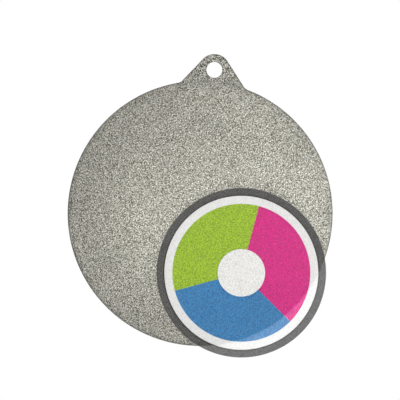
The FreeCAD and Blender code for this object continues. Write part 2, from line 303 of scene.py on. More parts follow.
def grid_point(i, j):
    """A square grid laid on a round one, with rows that stay level across the middle."""
    a = math.sqrt(2) * math.sin(math.tau / 4 * (i / QUARTER - 0.5))
    b = math.sqrt(2) * math.sin(math.tau / 4 * (j / QUARTER - 0.5))
    x, z = a * math.sqrt(1 - b * b / 2), b * math.sqrt(1 - a * a / 2)
    return GRID_R * x, DISC_Z + GRID_R * z, 1.0


def add_grid(plan, rows):
    across = range(QUARTER + 1)
    for j in rows:
        plan.strip([grid_point(i, j) for i in across], [grid_point(i, j + 1) for i in across])


def add_rings(plan, columns, radii, depths):
    """Rings between the columns, then the rim, which is given as depths in from the outline."""
    stations = [(r, 1.0) for r in radii[:-1]] + [(DISC_R - d, d) for d in depths]
    for (inner, d_inner), (outer, d_outer) in zip(stations, stations[1:]):
        plan.strip(
            [(*polar(inner, c), d_inner) for c in columns], [(*polar(outer, c), d_outer) for c in columns]
        )


def inside(x, z, loop):
    """Whether a point is inside a closed loop of points, by counting the edges to its right."""
    crossings = 0
    for (ax, az), (bx, bz) in zip(loop, loop[1:] + loop[:1]):
        if (az > z) != (bz > z) and x < ax + (z - az) / (bz - az) * (bx - ax):
            crossings += 1
    return crossings % 2 == 1


SLIVER = 1e-4 * MM * MM  # triangles on the sector's straight sides with no area to speak of
HOLE_RINGS = [HOLE_R + s * MM for s in (0, 0.15, 0.4, 1.0, 2.1, 3.6)]
CLEAR = 0.7 * MM  # how far free points of the tab stay from its outline


def ring_points(radius):
    """A ring of points about the hang hole."""
    turns = [math.tau * i / HOLE_STEPS for i in range(HOLE_STEPS)]
    return [(radius * math.sin(a), radius * math.cos(a)) for a in turns]


def tab_points(loop, hole):
    """Points to mesh between the tab's outline and its hole: even rows, and rings round the hole."""
    rows, radius = [], CREST_R + 1.2 * MM
    while radius < -DISC_Z + TIP_R:
        rows += [polar(radius, c + 0.5) for c in range(-TAB_COLUMNS, TAB_COLUMNS)]
        radius += 1.4 * MM
    rows = [p for p in rows if math.hypot(*p) >= HOLE_RINGS[-1] + CLEAR]
    free = []
    for x, z in rows + [p for ring in hole[1:] for p in ring]:
        if inside(x, z, loop) and min(math.hypot(x - a, z - b) for a, b in loop) > CLEAR:
            free.append((x, z))
    return free


def add_tab(plan, outline):
    """The tab's sector: a rounded strip along the outline, and the flat part between it and the disc."""
    for outer, inner in zip(RIM_DEPTHS[1:], RIM_DEPTHS[:-1]):
        plan.strip(*([(*(p + n * depth), depth) for p, n in outline] for depth in (outer, inner)))
    span = range(-TAB_COLUMNS, TAB_COLUMNS + 1)
    sides = [r for r in RING_RADII if CREST_R < r < RIM_R]
    loop = [polar(CREST_R, c) for c in span] + [polar(r, TAB_COLUMNS) for r in sides]
    loop += [tuple(p + n * BEAD) for p, n in reversed(outline)]
    loop += [polar(r, -TAB_COLUMNS) for r in reversed(sides)]
    hole = [ring_points(r) for r in HOLE_RINGS]
    points = loop + hole[0] + tab_points(loop, hole)
    n, m = len(loop), len(hole[0])
    edges = [(i, (i + 1) % n) for i in range(n)] + [(n + i, n + (i + 1) % m) for i in range(m)]
    made = delaunay_2d_cdt([Vector(p) / MM for p in points], edges, [], 0, 1e-6)
    back = [origins[0] for origins in made[3]]
    for corners in made[2]:
        triangle = [points[back[k]] for k in corners]
        (ax, az), (bx, bz), (cx, cz) = triangle
        x, z = (ax + bx + cx) / 3, (az + bz + cz) / 3
        if abs((bx - ax) * (cz - az) - (bz - az) * (cx - ax)) < SLIVER:
            continue
        if inside(x, z, loop) and math.hypot(x, z) > HOLE_R * math.cos(math.pi / HOLE_STEPS):
            plan.face(*[(*p, 1.0) for p in triangle])


def rim_edge(columns):
    """Points of the disc's rim with their inward directions."""
    centre = Vector((0, DISC_Z))
    rim = [Vector(polar(DISC_R, c)) for c in columns]
    return [(p, (centre - p).normalized()) for p in rim]


def face_plan(upper):
    """The plan of one half of a face cloth, and its outer edge with inward directions."""
    plan = Plan()
    if upper:
        outline = tab_outline()
        add_grid(plan, range(QUARTER // 2, QUARTER))
        add_rings(plan, range(-QUARTER, QUARTER + 1), [r for r in RING_RADII if r <= CREST_R] + [0], [])
        for columns in (range(-QUARTER, -TAB_COLUMNS + 1), range(TAB_COLUMNS, QUARTER + 1)):
            add_rings(plan, columns, [r for r in RING_RADII if r >= CREST_R], RIM_DEPTHS)
        add_tab(plan, outline)
        left, right = range(-QUARTER, -TAB_COLUMNS), range(TAB_COLUMNS + 1, QUARTER + 1)
        return plan, rim_edge(left) + outline + rim_edge(right)
    below = range(QUARTER, 3 * QUARTER + 1)
    add_grid(plan, range(QUARTER // 2))
    add_rings(plan, below, RING_RADII, RIM_DEPTHS)
    return plan, rim_edge(below)


def cloth(name, upper, side, phase):
    """One half of a face cloth as a closed thin solid. side is -1 for the front and 1 for the back."""
    plan, edge = face_plan(upper)
    points = [(x, side * height(x, z, d, phase), z) for x, z, d in plan.points]
    faces = [list(f) for f in plan.faces]
    first = len(points)
    points += [(p.x + n.x * LIP, side * 0.05 * MM, p.y + n.y * LIP) for p, n in edge]
    ids = [plan.point(p.x, p.y, 0.0) for p, _ in edge]
    hole = [(math.hypot(x, z) - HOLE_R) * 2 for x, z, _ in plan.points]
    depths = [min(p[2], h, BEAD) for p, h in zip(plan.points, hole)] + [0.0] * len(edge)
    for i in range(len(edge) - 1):
        faces.append([ids[i], ids[i + 1], first + i + 1, first + i])
    made = mesh_object(name, points, faces)
    # how far in from the outline or the hang hole a point is; the silver finish paints shade along there
    made.data.attributes.new("edge_depth", "FLOAT", "POINT").data.foreach_set("value", depths)
    work = bmesh.new()
    work.from_mesh(made.data)
    bmesh.ops.recalc_face_normals(work, faces=work.faces)
    work.faces.ensure_lookup_table()
    flat = max(work.faces, key=lambda f: f.calc_area())
    if flat.normal.y * side < 0:
        bmesh.ops.reverse_faces(work, faces=work.faces)
    work.to_mesh(made.data)
    work.free()
    solid = made.modifiers.new("thickness", "SOLIDIFY")
    solid.thickness, solid.offset = CLOTH, -1.0
    apply_modifiers(made).data.set_sharp_from_angle(angle=math.radians(50))
    return keep_place(made)


def lining(name, upper):
    """One half of the lightproof lining between the faces."""
    rows = range(QUARTER // 2, QUARTER) if upper else range(QUARTER // 2)
    plan = Plan()
    add_grid(plan, rows)
    grow = (SEAM_R - 0.5 * MM) / GRID_R
    points = [(x * grow, -0.1 * MM, DISC_Z + (z - DISC_Z) * grow) for x, z, _ in plan.points]
    made = mesh_object(name, points, plan.faces)
    solid = made.modifiers.new("thickness", "SOLIDIFY")
    solid.thickness, solid.offset = 0.2 * MM, 1.0
    return keep_place(outward(apply_modifiers(made)))


def band(name, first, last):
    """The flat steel hoop between two columns."""
    y = size_of("spring_band_upper").y / 2
    r_out, chamfer = DISC_R - HOOP_IN, 0.12 * MM
    r_in = r_out - HOOP_THICK
    profile = [(r_in, -y + chamfer), (r_in + chamfer, -y), (r_out - chamfer, -y), (r_out, -y + chamfer)]
    profile += [(r, -h) for r, h in reversed(profile)]
    at = Vector((0, 0, DISC_Z))
    start, turn = math.tau * first / COLUMNS, math.tau * (last - first) / COLUMNS
    return keep_place(lathe(name, profile, at, last - first, start, turn))


# ---- Stitches ----
STITCH_PITCH, STITCH_LENGTH, THREAD_R = 3.1 * MM, 2.55 * MM, 0.17 * MM


def stitches(name, places):
    """Threads lying on cloth. Each place is (middle, direction along the seam, direction out of it)."""
    points, faces = [], []
    stations, sides = 7, 6
    for middle, along, out in places:
        across = along.cross(out)
        base = len(points)
        for s in range(stations):
            u = s / (stations - 1)
            rise = THREAD_R * (1.7 * math.sin(math.pi * u) - 1.05)
            thick = THREAD_R * (0.45 + 0.55 * math.sin(math.pi * u) ** 0.5)
            at = middle + along * STITCH_LENGTH * (u - 0.5) + out * rise
            for k in range(sides):
                a = math.tau * k / sides
                points.append(at + across * thick * math.cos(a) + out * thick * math.sin(a))
        for s in range(stations - 1):
            for k in range(sides):
                a, b = base + s * sides + k, base + s * sides + (k + 1) % sides
                faces.append((a, b, b + sides, a + sides))
        faces.append(tuple(base + k for k in range(sides)))
        faces.append(tuple(base + (stations - 1) * sides + k for k in range(sides)))
    return keep_place(outward(mesh_object(name, points, faces)))


def ring_places(at, radius, surface, side, first, last):
    """Stitches on a circle about at, from angle first to last, on the front (side -1) or back (side 1)."""
    count = round(radius * (last - first) / STITCH_PITCH)
    places = []
    for i in range(count):
        angle = first + (last - first) * (i + 0.5) / count
        spot = Vector((at.x + radius * math.sin(angle), side * surface, at.z + radius * math.cos(angle)))
        places.append((spot, Vector((math.cos(angle), 0, -math.sin(angle))), Vector((0, side, 0))))
    return places


def tab_places(side):
    """Stitches along both sides of the tab and round its tip, a little inside its edge."""
    inset, surface = 2.65 * MM, side * TAB_HALF
    radius = TIP_R - inset
    normal = Vector((math.cos(TAB_FLARE), 0, math.sin(TAB_FLARE)))
    along = Vector((math.sin(TAB_FLARE), 0, -math.cos(TAB_FLARE)))
    out = Vector((0, side, 0))
    half_tip = math.pi / 2 - TAB_FLARE
    count = round(radius * half_tip * 2 / STITCH_PITCH)
    places = []
    for i in range(count):
        angle = half_tip * (2 * (i + 0.5) / count - 1)
        spot = Vector((radius * math.sin(angle), surface, radius * math.cos(angle)))
        places.append((spot, Vector((math.cos(angle), 0, -math.sin(angle))), out))
    for i in range(5):
        spot = normal * radius + along * STITCH_PITCH * (i + 0.5)
        spot.y = surface
        places.append((spot, along, out))
        places.append((Vector((-spot.x, spot.y, spot.z)), Vector((-along.x, 0, along.z)), out))
    return places


# ---- Shader tools ----
def linear(*levels):
    """Display levels from 0 to 255 as a linear colour."""
    scaled = [v / 255 for v in levels]
    return (*[v / 12.92 if v <= 0.04045 else ((v + 0.055) / 1.055) ** 2.4 for v in scaled], 1.0)


class Finish:
    """A node material whose patterns are placed by where each point is at rest."""

    def __init__(self, name, place="rest", **values):
        self.material = bpy.data.materials.new(name)
        self.material.use_nodes = True
        self.tree = self.material.node_tree
        self.shader = self.tree.nodes["Principled BSDF"]
        for key, value in values.items():
            self.shader.inputs[key.replace("_", " ")].default_value = value
        if place == "rest":
            self.place = self.node("Attribute", "Vector", attribute_name="rest_place")
        else:
            self.place = self.node("TexCoord", "Object")
        # noise is cut at a slant, because along its own planes its contrast comes and goes
        self.slant = self.node("Mapping", 0, {"Vector": self.place, "Rotation": (0.61, 0.37, 0.83)})

    def node(self, kind, output=0, inputs=None, **settings):
        made = self.tree.nodes.new("ShaderNode" + kind)
        for key, value in settings.items():
            setattr(made, key, value)
        for key, value in (inputs or {}).items():
            if isinstance(value, bpy.types.NodeSocket):
                self.tree.links.new(value, made.inputs[key])
            else:
                made.inputs[key].default_value = value
        return made.outputs[output]

    def noise(self, scale, detail=2.0, rough=0.5, offset=(0, 0, 0)):
        place = self.slant
        if any(offset):
            place = self.node("VectorMath", 0, {0: place, 1: offset}, operation="ADD")
        pattern = {"Vector": place, "Scale": scale, "Detail": detail, "Roughness": rough}
        return self.node("TexNoise", 0, pattern)

    def ramp(self, value, low, high, to_low=0.0, to_high=1.0):
        limits = {"Value": value, "From Min": low, "From Max": high, "To Min": to_low, "To Max": to_high}
        return self.node("MapRange", 0, limits)

    def math(self, operation, a, b):
        return self.node("Math", 0, {0: a, 1: b}, operation=operation)

    def mix(self, factor, a, b, blend="MIX"):
        return self.node("Mix", 2, {0: factor, 6: a, 7: b}, data_type="RGBA", blend_type=blend)

    def drive(self, **sockets):
        for key, value in sockets.items():
            self.tree.links.new(value, self.shader.inputs[key.replace("_", " ")])
        return self

    def bump(self, value, distance, strength=1.0):
        made = self.node("Bump", 0, {"Height": value, "Distance": distance, "Strength": strength})
        return self.drive(Normal=made)


# ---- Finishes ----
RING_IN = size_of("frosted_band").x / 2 + 0.05 * MM
LIP_WIDTH, LIP_HIGH = 1.5 * MM, 0.12 * MM  # the bead round the inside of the wheel's ring
GRANULES, FLAKES, MOTTLE = 960, 2700, 800  # pattern scales of silver cloth and of plastic, per metre
FILM_GLOW = 0.55  # share of a film's light that goes through it in its own colour
GLOW_REACH = 1.5 * MM  # how far that light spreads inside the film


def silver_finish():
    """Grainy satin silver: fine granules under a cloudy, warm grey that lightens to the right. The clouds and the
    lightening are painted light, as are the darker top, bottom and rim, and the dark line at the edges is painted
    shade.
    """
    f = Finish("silver_cloth", Metallic=0.15, IOR=1.45)
    granule = f.noise(GRANULES, 0.0)
    flake = f.node("TexVoronoi", 1, {"Vector": f.place, "Scale": FLAKES})
    flake = f.node("SeparateXYZ", 0, {0: flake})
    bright = f.math("POWER", f.ramp(granule, 0.15, 0.85), 1.45)
    level = f.math("ADD", f.ramp(bright, 0, 1, -0.15, 3.03), f.ramp(flake, 0, 1, -0.2, 0.2))
    from_centre = f.node("VectorMath", 1, {0: f.place, 1: (0, 0, DISC_Z)}, operation="DISTANCE")
    contrast = f.ramp(from_centre, DISC_R, DISC_R + 12 * MM, 1.0, 1.5)
    level = f.math("ADD", f.math("MULTIPLY", f.math("SUBTRACT", level, 1.0), contrast), 1.0)
    aside, up = f.node("SeparateXYZ", 0, {0: f.place}), f.node("SeparateXYZ", 2, {0: f.place})
    depth = f.node("Attribute", "Fac", attribute_name="edge_depth")
    shade = level
    for factor in (
        f.ramp(f.noise(13, 2.0, 0.55, (0.31, 0.12, 0.77)), 0.3, 0.7, 0.93, 1.07),  # painted light: clouds of uneven light on the cloth
        # painted light: lighter to the right, darker towards the top and the bottom, lighter in the middle and darker
        # towards the rim
        f.ramp(aside, -DISC_R, DISC_R, 0.775, 1.27),
        f.ramp(up, DISC_Z - 0.2 * DISC_R, DISC_Z + 0.75 * DISC_R, 1.04, 0.87),
        f.ramp(up, DISC_Z - 0.95 * DISC_R, DISC_Z - 0.35 * DISC_R, 0.78, 1.0),
        f.ramp(from_centre, DISC_R * 0.3, DISC_R - 7 * MM, 1.115, 0.9),
        f.ramp(from_centre, DISC_R - 8 * MM, DISC_R - 1 * MM, 1.0, 0.8),
        f.ramp(from_centre, DISC_R, DISC_R + 12 * MM, 1.0, 1.1),  # the tab lighter, taking back part of the painted shade at the rim
        f.ramp(depth, 0, BEAD, 0.5, 1.0),  # painted shade: a dark line where the cloth turns round its edge and the hang hole
    ):
        shade = f.math("MULTIPLY", shade, factor)
    tone = f.mix(f.ramp(level, 0.3, 1.5), linear(172, 170, 149), linear(169, 167, 160))
    tone = f.node("VectorMath", 0, {0: tone, "Scale": shade}, operation="SCALE")
    f.drive(Base_Color=tone, Roughness=f.ramp(flake, 0, 1, 0.62, 0.4))
    relief_of = f.math("ADD", granule, f.math("MULTIPLY", flake, 0.12))
    return f.bump(relief_of, 0.15 * MM, 0.45).material


def weave(f, pitch):
    """Height of a plain weave of that pitch: threads in X and Z that pass over each other."""
    x = f.node("SeparateXYZ", 0, {0: f.place})
    z = f.node("SeparateXYZ", 2, {0: f.place})
    turn = math.tau / pitch
    warp = f.math("SINE", f.math("MULTIPLY", x, turn), 0.0)
    weft = f.math("SINE", f.math("MULTIPLY", z, turn), 0.0)
    return f.math("MULTIPLY", warp, weft)


def cloth_finish(name, light, dark, pitch, rough=0.85, bump=0.06 * MM):
    f = Finish(name, IOR=1.4)
    threads = weave(f, pitch)
    slub = f.noise(900, 2.0, 0.6)
    stain = f.ramp(f.noise(16, 3.0, 0.6), 0.35, 0.7)
    level = f.math("ADD", f.math("MULTIPLY", threads, 0.18), f.math("MULTIPLY", slub, 0.7))
    tone = f.mix(f.ramp(level, 0.15, 0.6), dark, light)
    tone = f.mix(f.math("MULTIPLY", stain, 0.35), tone, dark)
    f.drive(Base_Color=tone, Roughness=f.ramp(slub, 0.3, 0.7, rough - 0.08, min(rough + 0.08, 1.0)))
    return f.bump(f.math("ADD", threads, slub), bump).material


def metal_finish(name, tone, dark, rough, place="rest", streak=(1, 1, 1)):
    f = Finish(name, place, Metallic=1.0)
    stretched = f.node("VectorMath", 0, {0: f.place, 1: streak}, operation="MULTIPLY")
    lines = f.node("TexNoise", 0, {"Vector": stretched, "Scale": 1500.0, "Detail": 2.0})
    patch = f.ramp(f.noise(160, 2.0), 0.3, 0.7)
    f.drive(Base_Color=f.mix(patch, tone, dark))
    f.drive(Roughness=f.ramp(lines, 0.3, 0.7, rough - 0.08, rough + 0.12))
    return f.bump(lines, 0.01 * MM, 0.6).material


def plastic_finish(name, tone, dark, rough, alpha=1.0, place="rest", lip_r=0.0, glow=0.0):
    """Moulded or sheet plastic with a fine mottle. alpha is how much each surface of it hides. glow is the share
    of light that goes through it in its own colour. lip_r is the radius about the wheel's axis of an inner lip,
    where the plastic is thicker; the lip is painted near black, as painted shade for the shading of its bevel."""
    f = Finish(name, place, Alpha=alpha, IOR=1.46, Subsurface_Weight=glow)
    f.shader.inputs["Subsurface Radius"].default_value = (1, 1, 1)
    f.shader.inputs["Subsurface Scale"].default_value = GLOW_REACH
    mottle = f.ramp(f.noise(MOTTLE, 0.0), 0.24, 0.76)
    drift = f.ramp(f.noise(25, 2.0, 0.5), 0.3, 0.7)
    level = f.math("ADD", f.math("MULTIPLY", mottle, 0.9), f.math("MULTIPLY", drift, 0.1))
    shade = f.mix(level, tone, dark)
    if lip_r:
        flat = f.node("VectorMath", 0, {0: f.place, 1: (1, 0, 1)}, operation="MULTIPLY")
        axis = (WHEEL_AT.x, 0, WHEEL_AT.z)
        from_axis = f.node("VectorMath", 1, {0: flat, 1: axis}, operation="DISTANCE")
        # painted shade: the ring's inner lip is painted near black, for the shading of its bevel
        lip_shade = f.ramp(from_axis, lip_r + 0.7 * LIP_WIDTH, lip_r + LIP_WIDTH, 1.0, 0.0)
        shade = f.mix(lip_shade, shade, linear(16, 16, 15))
    f.drive(Base_Color=shade, Roughness=f.ramp(mottle, 0, 1, rough, rough + 0.12))
    return f.bump(mottle, 0.02 * MM, 0.5).material


def thread_finish():
    f = Finish("thread", IOR=1.4, Roughness=0.7)
    twist = f.noise(4200, 1.0)
    tone = f.mix(f.ramp(twist, 0.35, 0.65), linear(170, 168, 160), linear(226, 224, 216))
    f.drive(Base_Color=tone)
    return f.bump(twist, 0.03 * MM).material


FINISHES = {
    "silver_cloth": silver_finish(),
    "white_cloth": cloth_finish("white_cloth", linear(247, 247, 244), linear(222, 221, 216), 1.1 * MM),
    "lining_cloth": cloth_finish("lining_cloth", linear(52, 52, 54), linear(24, 24, 26), 0.8 * MM),
    "patch_cloth": cloth_finish("patch_cloth", linear(236, 235, 230), linear(196, 194, 188), 0.8 * MM),
    "thread": thread_finish(),
    "spring_steel": metal_finish("spring_steel", linear(176, 178, 182), linear(150, 152, 158), 0.35, "object"),
    "nickel": metal_finish("nickel", linear(222, 218, 208), linear(196, 192, 184), 0.28),
    "tab_board": plastic_finish("tab_board", linear(196, 194, 188), linear(160, 158, 152), 0.5, place="object"),
    "hub_white": plastic_finish("hub_white", linear(252, 251, 248), linear(209, 208, 205), 0.38),
    "clear_film": plastic_finish("clear_film", linear(250, 252, 253), linear(244, 248, 250), 0.12, 0.03),
    "frosted_film": plastic_finish("frosted_film", linear(255, 255, 255), linear(226, 226, 225), 0.5, 0.56),
    "magenta_film": plastic_finish(
        "magenta_film", linear(252, 38, 160), linear(182, 18, 104), 0.3, 0.73, glow=FILM_GLOW
    ),
    "blue_film": plastic_finish("blue_film", linear(60, 153, 217), linear(37, 98, 149), 0.3, 0.71, glow=FILM_GLOW),
    "green_film": plastic_finish("green_film", linear(185, 227, 45), linear(119, 147, 26), 0.3, 0.73, glow=FILM_GLOW),
    "smoked_ring": plastic_finish(
        "smoked_ring", linear(108, 108, 107), linear(30, 30, 29), 0.35, 0.433, lip_r=RING_IN
    ),
}


def hides_all(material):
    return material.node_tree.nodes["Principled BSDF"].inputs["Alpha"].default_value >= 1


SEE_THROUGH = {slot for slot, material in FINISHES.items() if not hides_all(material)}


def dress(made, slot, body=None):
    """Gives a piece its finish and the body that it rides on. What is seen through dims nothing behind it."""
    made.visible_shadow = slot not in SEE_THROUGH
    made.data.materials.clear()
    made.data.materials.append(FINISHES[slot])
    if body:
        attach(made, body)
    return made


# ---- Pieces of the upper and lower halves ----
def bend(made, upper):
    """Fixes a piece where it is, in its mesh, for upper and lower pieces alike; nothing bends at the folds. Both meet
    at the disc's middle.
    """
    if upper:
        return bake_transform(made)
    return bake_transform(made)


def stands_for(made, stem, upper):
    nodes = [f"{stem}_upper", f"{stem}_middle"] if upper else [f"{stem}_lower"]
    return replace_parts(made, *nodes)


CLOTHS = (("silver_face", "silver_cloth", -1, 0.4), ("white_back", "white_cloth", 1, 2.1))
for half, upper in (("top", True), ("bottom", False)):
    for stem, slot, side, phase in CLOTHS:
        face = dress(cloth(f"{stem}_{half}", upper, side, phase), slot)
        stands_for(bend(face, upper), stem, upper)
    inner = dress(lining(f"lining_{half}", upper), "lining_cloth")
    stands_for(bend(inner, upper), "lightproof_lining", upper)
    if upper:
        hoop = dress(band("hoop_top", -QUARTER, QUARTER), "spring_steel")
    else:
        hoop = dress(band("hoop_bottom", QUARTER, 3 * QUARTER), "spring_steel")
    stands_for(bend(hoop, upper), "spring_band", upper)
    first = -math.pi / 2 if upper else math.pi / 2
    at = Vector((0, 0, DISC_Z))
    places = []
    for side in (-1, 1):
        places += ring_places(at, SEAM_R, FACE - 0.08 * MM, side, first, first + math.pi)
    seam = dress(stitches(f"channel_stitches_{half}", places), "thread")
    stands_for(bend(seam, upper), "channel_seam", upper)

tab_stitches = dress(stitches("tab_stitches", tab_places(-1) + tab_places(1)), "thread", "upper_half")
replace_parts(tab_stitches, "tab_seam")
for node, slot in (("tab_board", "tab_board"), ("band_splice_sleeve", "spring_steel")):
    carried = frame["nodes"][node]
    carried.data.materials.clear()
    carried.data.materials.append(FINISHES[slot])


# ---- Press stud ----
def stud_profiles():
    """Closed profiles of the stud, its rivet and the snap ring, from their CAD boxes."""
    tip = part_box("snap_stud")[0].y
    flange_r, head_r, neck_r, post_r = size_of("snap_stud").x / 2, 3.7 * MM, 3.0 * MM, 1.8 * MM
    back, flange = -FACE, -FACE - 0.5 * MM
    ring_low, ring_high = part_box("snap_ring")[0].y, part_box("snap_ring")[1].y
    tube_r, tube_end = post_r + 0.05 * MM, -2.0 * MM
    stud = [(0, tube_end), (tube_r, tube_end), (tube_r, back), (flange_r - 0.15 * MM, back)]
    stud += arc(flange_r - 0.22 * MM, flange + 0.22 * MM, 0.22 * MM, 0, -90)
    stud += arc(neck_r + 0.3 * MM, flange - 0.3 * MM, 0.3 * MM, 90, 180)
    stud += [(neck_r, ring_low - 0.02 * MM)]
    stud += arc(head_r - 0.35 * MM, ring_low - 0.5 * MM, 0.35 * MM, 40, -20)
    stud += arc(head_r - 1.1 * MM, tip + 0.45 * MM, 0.45 * MM, -30, -90)
    stud += [(1.2 * MM, tip), (0.9 * MM, tip + 0.15 * MM), (0, tip + 0.2 * MM)]
    base, head_out = FACE + 0.3 * MM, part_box("stud_rivet")[1].y
    head = size_of("stud_rivet").x / 2
    rivet = [(0, -1.9 * MM), (post_r - 0.2 * MM, -1.9 * MM), (post_r, -1.7 * MM)]
    rivet += [(post_r, base), (head - 0.3 * MM, base)]
    rivet += arc(head - 0.2 * MM, base + 0.2 * MM, 0.2 * MM, -60, 80)
    rivet += [(head - 0.8 * MM, head_out - 0.36 * MM), (head - 1.1 * MM, head_out - 0.37 * MM)]
    rivet += [(head * s, head_out - 0.33 * MM * s * s) for s in (0.78, 0.7, 0.55, 0.4, 0.25, 0.1, 0)]
    outer = size_of("snap_ring").x / 2
    wire = (outer - neck_r - 0.15 * MM) / 2
    middle = (ring_low + ring_high) / 2
    ring = [
        (outer - wire + wire * math.cos(a), middle + (ring_high - ring_low) / 2 * math.sin(a))
        for a in [math.tau * k / 14 for k in range(14)]
    ]
    return stud, rivet, ring


stud_profile, rivet_profile, ring_profile = stud_profiles()
snap_stud = dress(keep_place(lathe("press_stud", stud_profile, WHEEL_AT, 72)), "nickel", "lower_half")
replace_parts(snap_stud, "snap_stud")
rivet = dress(keep_place(lathe("rivet_head", rivet_profile, WHEEL_AT, 72)), "nickel", "lower_half")
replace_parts(rivet, "stud_rivet")
snap_ring = lathe("split_ring", ring_profile, WHEEL_AT, 64, math.radians(90), math.radians(320))
snap_ring = dress(keep_place(snap_ring), "nickel", "press_ring")
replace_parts(snap_ring, "snap_ring")

patch_top = FACE + 0.3 * MM
patch_profile = [(1.85 * MM, FACE), (1.85 * MM, patch_top - 0.02 * MM), (PATCH_R - 3.2 * MM, patch_top)]
patch_profile += [(PATCH_R - 2.1 * MM, patch_top + 0.1 * MM), (PATCH_R - 1.75 * MM, patch_top - 0.04 * MM)]
patch_profile += [(PATCH_R - 1.3 * MM, patch_top + 0.1 * MM), (PATCH_R - 0.5 * MM, patch_top + 0.1 * MM)]
patch_profile += arc(PATCH_R - 0.22 * MM, FACE + 0.2 * MM, 0.22 * MM, 60, -60, 4)
patch = dress(keep_place(lathe("patch", patch_profile, WHEEL_AT, 96)), "patch_cloth", "lower_half")
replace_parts(patch, "stud_patch")
patch_ring = ring_places(WHEEL_AT, PATCH_R - 1.75 * MM, patch_top, 1, 0, math.tau)
patch_seam = dress(stitches("patch_stitches", patch_ring), "thread", "lower_half")
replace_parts(patch_seam, "stud_patch_seam")


# ---- Colour wheel ----
def level(node, high):
    """y of a node's front (high False) or back (high True)."""
    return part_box(node)[1 if high else 0].y


def flat_ring(name, inner, outer, front, back, edge=0.04 * MM, segments=180, start=0.0, turn=math.tau):
    """A thin ring or sector of sheet with softly broken edges."""
    stations = [inner + (outer - inner) * s for s in (0, 0.25, 0.5, 0.75, 1)]
    face = [(inner + edge, front), *[(r, front) for r in stations[1:-1]], (outer - edge, front)]
    rear = [(r, back) for r, _ in reversed(face)]
    profile = [(inner, front + edge), *face, (outer, front + edge)]
    profile += [(outer, back - edge), *rear, (inner, back - edge)]
    return lathe(name, profile, WHEEL_AT, segments, start, turn)


HUB_R = size_of("hub_cap").x / 2
FILM_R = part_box("magenta_film")[1].x - WHEEL_AT.x
FILM_GAP = 0.03 * MM  # air between layers that lie on each other
FILM_FRONT, FILM_BACK = level("frosted_band", False), level("frosted_band", True)
SECTOR_START = math.radians(9.2)

carrier = flat_ring(
    "carrier_sheet", 12 * MM, size_of("clear_carrier").x / 2, level("clear_carrier", False) + FILM_GAP,
    level("clear_carrier", True) - FILM_GAP,
)
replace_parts(dress(keep_place(carrier), "clear_film", "colour_wheel"), "clear_carrier")
frosted = flat_ring("frosted_sheet", FILM_R + 0.04 * MM, RING_IN - 0.05 * MM, FILM_FRONT, FILM_BACK)
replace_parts(dress(keep_place(frosted), "frosted_film", "colour_wheel"), "frosted_band")
for index, colour in enumerate(("magenta", "blue", "green")):
    gap = 0.06 * MM / FILM_R
    start = SECTOR_START + index * math.tau / 3 + gap
    gel = flat_ring(
        f"{colour}_gel", 14 * MM, FILM_R - 0.02 * MM, FILM_FRONT, FILM_BACK, segments=72,
        start=start, turn=math.tau / 3 - 2 * gap,
    )
    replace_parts(dress(keep_place(gel), f"{colour}_film", "colour_wheel"), f"{colour}_film")


ring_front_y, ring_mid = level("wheel_ring_front", False), level("wheel_ring_front", True)
front_profile = arc(RING_IN + 0.2 * MM, ring_front_y + 0.2 * MM, 0.2 * MM, -180, -90, 4)
front_profile += [(RING_IN + 0.7 * LIP_WIDTH, ring_front_y), (RING_IN + LIP_WIDTH, ring_front_y + LIP_HIGH)]
front_profile += arc(WHEEL_R - 0.3 * MM, ring_front_y + LIP_HIGH + 0.3 * MM, 0.3 * MM, -90, 0, 4)
front_profile += [(WHEEL_R, ring_mid - FILM_GAP), (RING_IN, ring_mid - FILM_GAP)]
front_ring = lathe("ring_front", front_profile, WHEEL_AT, 240)
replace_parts(dress(keep_place(front_ring), "smoked_ring", "colour_wheel"), "wheel_ring_front")
ring_back_y, seat_y = level("wheel_ring_back", True), level("clear_carrier", True)
seat_r = WHEEL_R - 1.8 * MM  # the carrier lies inside this radius
back_profile = arc(RING_IN + 0.25 * MM, ring_back_y - 0.25 * MM, 0.25 * MM, 180, 90, 4)
back_profile += arc(WHEEL_R - 0.28 * MM, ring_back_y - 0.28 * MM, 0.28 * MM, 90, 0, 4)
back_profile += [(WHEEL_R, ring_mid + 0.06 * MM), (WHEEL_R - 0.06 * MM, ring_mid + FILM_GAP)]
back_profile += [(seat_r, ring_mid + FILM_GAP), (seat_r, seat_y)]
back_profile += [(RING_IN + 0.05 * MM, seat_y), (RING_IN, seat_y + 0.05 * MM)]
back_ring = lathe("ring_back", back_profile, WHEEL_AT, 240)
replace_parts(dress(keep_place(back_ring), "smoked_ring", "colour_wheel"), "wheel_ring_back")

HUB_CROWN = 0.35 * MM
cap_front, edge_front = level("hub_cap", False), level("hub_cap", False) + HUB_CROWN
BOSS_R, SPIGOT_R, MOUTH_R, CHAMBER_R = 8.5 * MM, 10.5 * MM, 4.0 * MM, 5.4 * MM
cap_profile = [(0, FILM_FRONT), (BOSS_R + 0.05 * MM, FILM_FRONT), (BOSS_R + 0.05 * MM, seat_y - 0.05 * MM)]
cap_profile += [(SPIGOT_R, seat_y - 0.05 * MM), (SPIGOT_R, FILM_FRONT - 0.01 * MM)]
cap_profile += [(HUB_R - 0.1 * MM, FILM_FRONT - 0.01 * MM)]
cap_profile += arc(HUB_R - 0.3 * MM, edge_front + 0.3 * MM, 0.3 * MM, 20, -80)
crown = (0.94, 0.85, 0.7, 0.55, 0.4, 0.25, 0.1)
cap_profile += [(HUB_R * s, edge_front - HUB_CROWN * (1 - s * s)) for s in crown] + [(0, cap_front)]
hub_cap = dress(keep_place(lathe("hub_front", cap_profile, WHEEL_AT, 144)), "hub_white", "colour_wheel")
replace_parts(hub_cap, "hub_cap")

